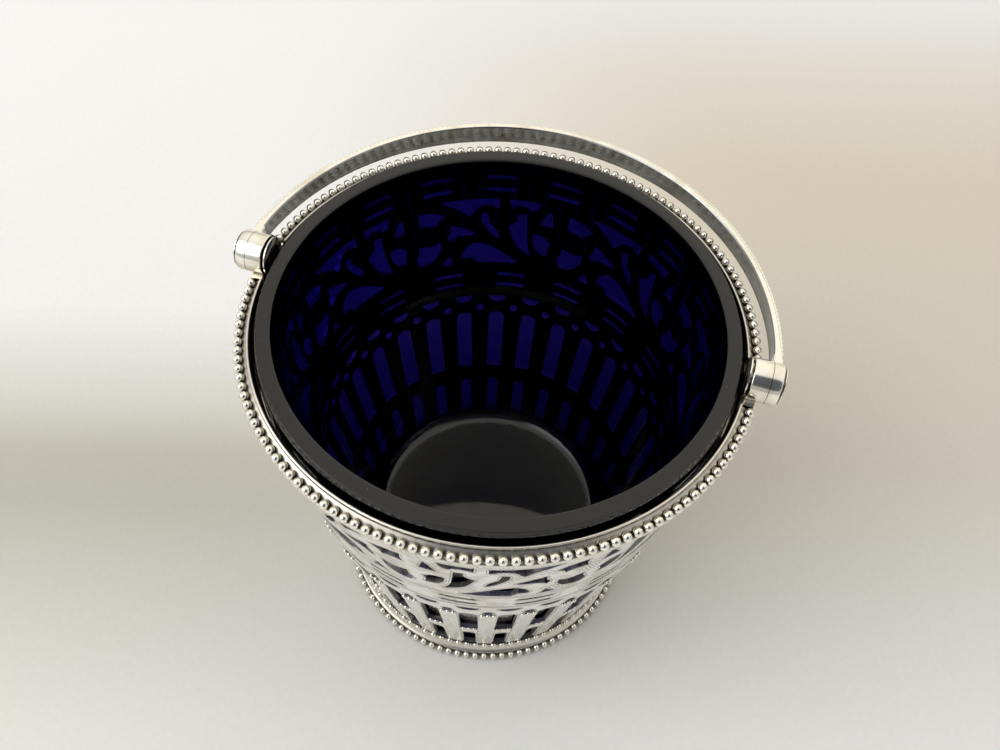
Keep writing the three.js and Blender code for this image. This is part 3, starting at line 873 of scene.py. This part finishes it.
def make_rim(material):
    """Bright lip, sloping strip for the beads and plain wire, filed flat where the lugs sit"""
    wall_inside = WALL_TOP_RADIUS - WALL_SHEET
    wire, lip = RIM_WIRE_RADIUS, LIP_WIDTH / 2
    outline = [(wall_inside, RIM_LOW.z), (WALL_TOP_RADIUS + 0.2 * MM, RIM_LOW.z)]
    outline += arc((RIM_HIGH.x - wire, RIM_LOW.z + wire + 0.35 * MM), wire, -80, 95, 8)
    outline += [(36.95 * MM, RIM_LOW.z + 1.12 * MM), (36.45 * MM, RIM_LOW.z + 1.62 * MM)]
    outline += [(36.12 * MM, RIM_LOW.z + 1.72 * MM), (LIP_RADIUS + 2 * lip, RIM_LOW.z + 1.85 * MM)]
    outline += arc((LIP_RADIUS + lip, RIM_HIGH.z - lip), lip, 0, 180, 8)
    outline += [(LIP_RADIUS, RIM_LOW.z + 1.2 * MM)]
    rim = turned("silver_rim", closed(outline), WALL_STEPS)
    close_seams(rim)
    fresh_start()
    bpy.ops.mesh.primitive_cube_add(size=1, location=(0, 0, LUG_LOW.z + 4.7 * MM),
                                    scale=(90 * MM, 2 * RIM_GAP_REACH, 10 * MM))
    cut_with(rim, new_primitive("lug_file"))
    finish_mesh(rim)
    dress(rim, "pail", material, "silver", "rim_band")


def add_bead(name, radius, place, squash, segments=12, rings=8):
    """A bead, squashed along the row that it sits in"""
    fresh_start()
    bpy.ops.mesh.primitive_uv_sphere_add(segments=segments, ring_count=rings, radius=radius, location=place,
                                         scale=(1, squash, 1))
    return new_primitive(name)


def add_small_bead(name, radius, place, squash):
    return add_bead(name, radius, place, squash, segments=8, rings=6)


def spin_copies(piece, count, angle, start=0.0):
    """Copies a piece round the pail, the first at the start angle and the last at the end of the span"""
    turn_mesh(piece, start)
    edit_all(piece)
    bpy.ops.mesh.spin(steps=count - 1, angle=angle, center=(0, 0, 0), axis=(0, 0, -1), dupli=True)
    to_object_mode()
    bpy.ops.object.shade_smooth()


def make_rim_beads(material):
    half_span = pi / 2 - asin((RIM_GAP_REACH + RIM_BEAD_RADIUS) / RIM_BEAD_RING)
    count = round(2 * half_span * RIM_BEAD_RING / RIM_BEAD_PITCH) + 1
    for side, middle in (("back", pi / 2), ("front", -pi / 2)):
        beads = add_bead(f"rim_beads_{side}", RIM_BEAD_RADIUS, (RIM_BEAD_RING, 0, RIM_BEAD_HEIGHT), 1.0)
        spin_copies(beads, count, 2 * half_span, middle - half_span)
        dress(beads, "pail", material, "beaded_silver", f"rim_beading_{side}")


def make_foot(material):
    """A spreading cove between two fillets, over an upright strip for the beads, standing on the table"""
    inner = BASE_HIGH.x + 0.3 * MM
    top = wall_radius(FOOT_HIGH.z)
    fillet = FOOT_FILLET_RADIUS
    outline = [(inner, 0), (FOOT_STRIP_RADIUS, 0), (FOOT_STRIP_RADIUS, 1.3 * MM)]
    outline += arc((FOOT_STRIP_RADIUS - fillet, 1.5 * MM), fillet, 0, 100, 5)
    outline += arc((FOOT_STRIP_RADIUS + 0.75 * MM, 3.2 * MM), FOOT_COVE_RADIUS, 235, 170, 7)
    outline += arc((top + 0.22 * MM, FOOT_HIGH.z - fillet), fillet, -40, 90, 5)
    outline += [(top + 0.06 * MM, FOOT_HIGH.z), (inner, WALL_FOOT)]
    foot = turned("silver_foot", closed(outline), WALL_STEPS)
    finish_mesh(foot)
    dress(foot, "pail", material, "silver", "foot_band")


def make_foot_beads(material):
    beads = add_bead("foot_beads", FOOT_BEAD_RADIUS, (FOOT_BEAD_RING, 0, FOOT_BEAD_RADIUS), 0.78)
    spin_copies(beads, FOOT_BEAD_COUNT, FOOT_BEAD_SPAN)
    dress(beads, "pail", material, "beaded_silver", "foot_beading")


# Hinges and bail

def make_lugs(material):
    """Inner half of each barrel, on a tab that follows the filed rim"""
    inner, outer = LUG_LOW.x, LUG_HIGH.x + (HINGE_GAP - SEAM) / 2
    edge = 0.22 * MM
    lug = turned("lug_right_dressed", closed([
        (BORE_RADIUS, inner), (BARREL_RADIUS - 2 * edge, inner),
        (BARREL_RADIUS - edge * 0.3, inner + edge * 0.3), (BARREL_RADIUS, inner + edge),
        (BARREL_RADIUS, outer), (BORE_RADIUS, outer)]), BARREL_STEPS, about_x=True)
    close_seams(lug)
    tab_angle = asin(LUG_HIGH.y / RIM_HIGH.x)
    tab_top = LUG_LOW.z + LUG_TAB_THICKNESS
    tab = swept("lug_tab", [(inner, LUG_LOW.z), (RIM_HIGH.x, LUG_LOW.z), (RIM_HIGH.x, tab_top - edge),
                            (RIM_HIGH.x - edge, tab_top), (inner, tab_top)], 10, -tab_angle, tab_angle)
    close_seams(tab)
    cut_with(lug, tab, "UNION")
    finish_mesh(lug)
    left = turned_copy(lug, pi, "lug_left_dressed")
    dress(lug, "pail", material, "silver", "lug_right")
    dress(left, "pail", material, "silver", "lug_left")


def make_pins(material):
    """Riveted pins: a wide flat head inside and a low domed cap outside"""
    head, cap = PIN_HEAD_RADIUS, PIN_CAP_RADIUS
    head_inner, head_outer = PIN_LOW.x, PIN_LOW.x + PIN_HEAD_THICKNESS
    cap_inner, cap_outer = PIN_HIGH.x - PIN_HEAD_THICKNESS, PIN_HIGH.x
    sunk = head_inner + 0.06 * MM
    pin = turned("pin_right_dressed", [
        (0, sunk), (head * 0.56, sunk), (head * 0.6, head_inner), (head * 0.64, head_inner),
        (head * 0.68, sunk), (head * 0.97, sunk), (head, head_inner + 0.12 * MM), (head, head_outer),
        (PIN_RADIUS, head_outer), (PIN_RADIUS, cap_inner), (cap, cap_inner), (cap, cap_inner + 0.1 * MM),
        (cap * 0.93, cap_outer - 0.07 * MM), (cap * 0.8, cap_outer - 0.02 * MM), (0, cap_outer)],
        48, about_x=True)
    finish_mesh(pin)
    left = turned_copy(pin, pi, "pin_left_dressed")
    dress(pin, "pail", material, "silver", "hinge_pin_right")
    dress(left, "pail", material, "silver", "hinge_pin_left")


def shape_to_bail(piece):
    """Eases a half ring into the bail's half ellipse, wider towards its middle"""
    for vertex in piece.data.vertices:
        turn = atan2(vertex.co.y, vertex.co.x)
        width = 1 + (STRAP_MIDDLE_WIDTH / STRAP_END_WIDTH - 1) * max(0.0, sin(turn))
        vertex.co.y *= BAIL_REACH / BAIL_HALF_SPAN
        vertex.co.z = HINGE_HEIGHT + (vertex.co.z - HINGE_HEIGHT) * width


def flare_ends(strap):
    """Thickens the strap's last few millimetres to the width of the knuckle"""
    for vertex in strap.data.vertices:
        nearness = min(1, 1 - (vertex.co.y - BARREL_RADIUS) / STRAP_FLARE_LENGTH)
        if nearness > 0:
            middle = BAIL_HALF_SPAN * cos(asin(vertex.co.y / BAIL_REACH))
            share = 1 if abs(vertex.co.x) > middle else -0.5
            vertex.co.x *= 1 + share * STRAP_FLARE * nearness ** 2 / middle


def make_strap(material, shade_darkened):
    """Strap, painted darker on its slightly hollow inner face for its shade, run into the outer halves of
    both barrels
    """
    half, wide = STRAP_THICKNESS / 2, STRAP_END_WIDTH / 2
    centre = BAIL_HALF_SPAN
    ease, hollow = STRAP_EASE, STRAP_HOLLOW
    outline = [(centre - half + ease, -wide), (centre + half - ease, -wide), (centre + half, -wide + ease),
               (centre + half, wide - ease), (centre + half - ease, wide), (centre - half + ease, wide),
               (centre - half, wide - ease), (centre - half + hollow, wide * 0.7),
               (centre - half + hollow, -wide * 0.7), (centre - half, -wide + ease)]
    start = asin(STRAP_START / BAIL_REACH)
    section = [(radius, HINGE_HEIGHT + up) for radius, up in outline]
    strap = swept("bail_strap_dressed", section, STRAP_STEPS, start, pi - start)
    shape_to_bail(strap)
    flare_ends(strap)
    close_seams(strap)
    edge = 0.3 * MM
    inner, outer = LUG_HIGH.x + (HINGE_GAP + SEAM) / 2, STRAP_HIGH.x
    for side, turn in (("right", 0), ("left", pi)):
        knuckle = turned(f"knuckle_{side}", closed([
            (BORE_RADIUS, inner), (BARREL_RADIUS, inner), (BARREL_RADIUS, outer - edge),
            (BARREL_RADIUS - edge * 0.3, outer - edge * 0.3), (BARREL_RADIUS - edge, outer),
            (BORE_RADIUS, outer)]), BARREL_STEPS, about_x=True)
        close_seams(knuckle)
        turn_mesh(knuckle, turn)
        cut_with(strap, knuckle, "UNION")
    finish_mesh(strap)
    dress(strap, "bail", material, "silver", "bail_strap")
    # the inner face takes the silver painted dark for its shade
    strap.data.materials.append(shade_darkened)
    for face in strap.data.polygons:
        inward = -Vector((face.center.x, face.center.y, 0)).normalized()
        if face.normal.dot(inward) > 0.6 and face.center.y > 1.2 * BARREL_RADIUS:
            face.material_index = 1


def make_bail_wires(material):
    """A finely beaded wire along each edge of the strap's outer face"""
    ring = BAIL_HALF_SPAN + STRAP_THICKNESS / 2 + 0.12 * MM
    start = asin(BAIL_BEADS_START / BAIL_REACH)
    for name, side in (("upper", 1), ("lower", -1)):
        height = HINGE_HEIGHT + side * (STRAP_END_WIDTH / 2 - BAIL_BEAD_RADIUS)
        beads = add_small_bead(f"bail_beads_{name}", BAIL_BEAD_RADIUS, (ring, 0, height), 1.05)
        spin_copies(beads, BAIL_BEAD_COUNT, pi - 2 * start, start)
        section = arc((ring, height), BAIL_WIRE_RADIUS, 0, 315, 7)
        wire = swept(f"bail_wire_{name}_core", section, STRAP_STEPS, start, pi - start)
        close_seams(wire)
        join_pieces([beads, wire])
        shape_to_bail(beads)
        bpy.ops.object.shade_smooth()
        dress(beads, "bail", material, "beaded_silver", f"bail_wire_{name}")


# Glass liner

def make_liner(material):
    """Thick tapering glass with a ground flat rim and a rounded corner at its floor"""
    def outside(height):
        return wall_radius(height) - WALL_SHEET - GLASS_GAP

    def inside(height):
        return outside(height) - GLASS_THICKNESS

    top, foot = LINER_HIGH.z, LINER_LOW.z
    rim_outside = LINER_HIGH.x
    flat_outside = rim_outside - GLASS_RIM_EASE
    flat_inside = flat_outside - GLASS_RIM_WIDTH
    floor, corner, floor_radius = GLASS_FLOOR, GLASS_CORNER, GLASS_FLOOR_RADIUS
    width = inside(corner) - floor_radius
    outline = [
        (0, foot + 0.3 * MM), (outside(foot) - 4 * MM, foot + 0.3 * MM), (outside(foot) - 3.4 * MM, foot),
        (outside(foot) - 1.5 * MM, foot), (outside(foot) - 0.5 * MM, foot + 0.45 * MM),
        (outside(foot + 1.5 * MM), foot + 1.5 * MM), (outside(SHOULDER_HEIGHT), SHOULDER_HEIGHT),
        (rim_outside, WALL_TOP), (rim_outside, top - 0.95 * MM), (rim_outside - 0.05 * MM, top - 0.8 * MM),
        (flat_outside + 0.03 * MM, top - 0.04 * MM), (flat_outside - 0.03 * MM, top),
        (flat_inside + 0.5 * MM, top), (flat_inside + 0.42 * MM, top - 0.01 * MM),
        (flat_inside + 0.2 * MM, top - 0.12 * MM), (flat_inside + 0.05 * MM, top - 0.4 * MM),
        (flat_inside, top - 0.8 * MM), (inside(SHOULDER_HEIGHT), SHOULDER_HEIGHT), (inside(corner), corner)]
    quarter = [pi / 2 * i / 10 for i in range(1, 11)]
    outline += [(floor_radius + width * cos(a), corner - (corner - floor) * sin(a)) for a in quarter]
    outline += [(floor_radius * share, floor - GLASS_FLOOR_DISH * (1 - share * share))
                for share in (0.8, 0.55, 0.3, 0)]
    liner = turned("cobalt_liner", outline, GLASS_STEPS)
    finish_mesh(liner)
    dress(liner, "liner", material, "cobalt_glass", "glass_liner")


# Scene round the pail

def add_floor():
    fresh_start()
    bpy.ops.mesh.primitive_plane_add(size=3)
    floor = new_primitive("floor")
    floor.data.materials.append(make_cloth())


def add_window():
    """One large soft lamp, high on the left and a little in front"""
    data = bpy.data.lights.new("window", "AREA")
    data.shape = "RECTANGLE"
    data.size = data.size_y = WINDOW_SIZE
    data.energy = WINDOW_POWER
    data.color = (1, 0.99, 0.97)
    lamp = new_object("window", data)
    lamp.location = WINDOW_PLACE
    lamp.rotation_euler = (WINDOW_AIM - WINDOW_PLACE).to_track_quat("-Z", "Y").to_euler()


def add_patch(tree, view, under, direction, edges, shade):
    """A soft round patch of the room in one direction, mixed over what is under it"""
    towards = measure(tree, "DOT_PRODUCT", view, Vector(direction).normalized())
    inner, outer = (cos(radians(edge)) for edge in edges)
    edge = remap(tree, towards, outer, inner, interpolation_type="SMOOTHSTEP")
    return mix(tree, edge, under, (*shade, 1))


def set_world():
    """A plain room: grey below and pale above, with each of the room's patches over it"""
    world = bpy.data.worlds.new("studio")
    world.use_nodes = True
    tree = world.node_tree
    view = add_node(tree, "ShaderNodeTexCoord").outputs["Generated"]
    shade = mix(tree, axis(tree, view, "Z"), (0.46, 0.46, 0.48, 1), (0.95, 0.94, 0.9, 1))
    for direction, edges, colour in ROOM_PATCHES:
        shade = add_patch(tree, view, shade, direction, edges, colour)
    feed(tree, tree.nodes["Background"], {"Color": shade})
    bpy.context.scene.world = world


def add_camera():
    data = bpy.data.cameras.new("photo_camera")
    data.lens = CAMERA_LENS
    data.sensor_width = CAMERA_SENSOR
    data.sensor_fit = "HORIZONTAL"
    data.clip_start = 5 * MM
    camera = new_object("photo_camera", data)
    camera.location = CAMERA_PLACE
    camera.rotation_euler = CAMERA_TURN
    bpy.context.scene.camera = camera


def build_scene():
    add_camera()
    polish = make_polish_group()
    tarnish_and_shade = make_tarnish_and_shade_group()
    engraved_silver = make_engraved_silver(polish, tarnish_and_shade, make_engraving_group())
    satin_silver = make_silver("satin_silver", polish, tarnish_and_shade, 0.12,
                               {"Depth": 0.6, "Warm": (0.84, 0.81, 0.75, 1)}, (0.2, 0.36))
    beaded_silver = make_silver(
        "beaded_silver", polish, tarnish_and_shade, 0.1,
        {"Depth": 0.9, "Oxide And Shade": (0.1, 0.09, 0.075, 1), "Silver": (0.92, 0.89, 0.8, 1)}, (0.08, 0.2))
    # painted shade: the wide reach darkens the whole cove and the channel under the lip, over their tarnish
    moulded_silver = make_silver(
        "moulded_silver", polish, tarnish_and_shade, 0.3,
        {"Depth": 1, "Reach": 1.6 * MM, "Open": 0.97, "Silver": (0.84, 0.8, 0.72, 1),
         "Oxide And Shade": (0.1, 0.088, 0.07, 1)}, (0.2, 0.4))
    plain_silver = make_silver(
        "plain_silver", polish, tarnish_and_shade, 0.3,
        {"Depth": 0.4, "Silver": (0.93, 0.9, 0.81, 1), "Warm": (0.6, 0.5, 0.34, 1)}, (0.08, 0.2))
    make_wall(engraved_silver)
    make_upright_bars(satin_silver)
    make_pearls(beaded_silver)
    make_rim(moulded_silver)
    make_rim_beads(beaded_silver)
    make_foot(moulded_silver)
    make_foot_beads(beaded_silver)
    make_lugs(plain_silver)
    make_pins(plain_silver)
    make_strap(plain_silver, make_shade_darkened_silver(tarnish_and_shade))
    make_bail_wires(beaded_silver)
    make_liner(make_cobalt_glass())
    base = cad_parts["base_disc"]
    base.data.materials.clear()
    base.data.materials.append(plain_silver)
    add_floor()
    add_window()
    set_world()


build_scene()
bpy.context.scene.view_settings.view_transform = "Standard"
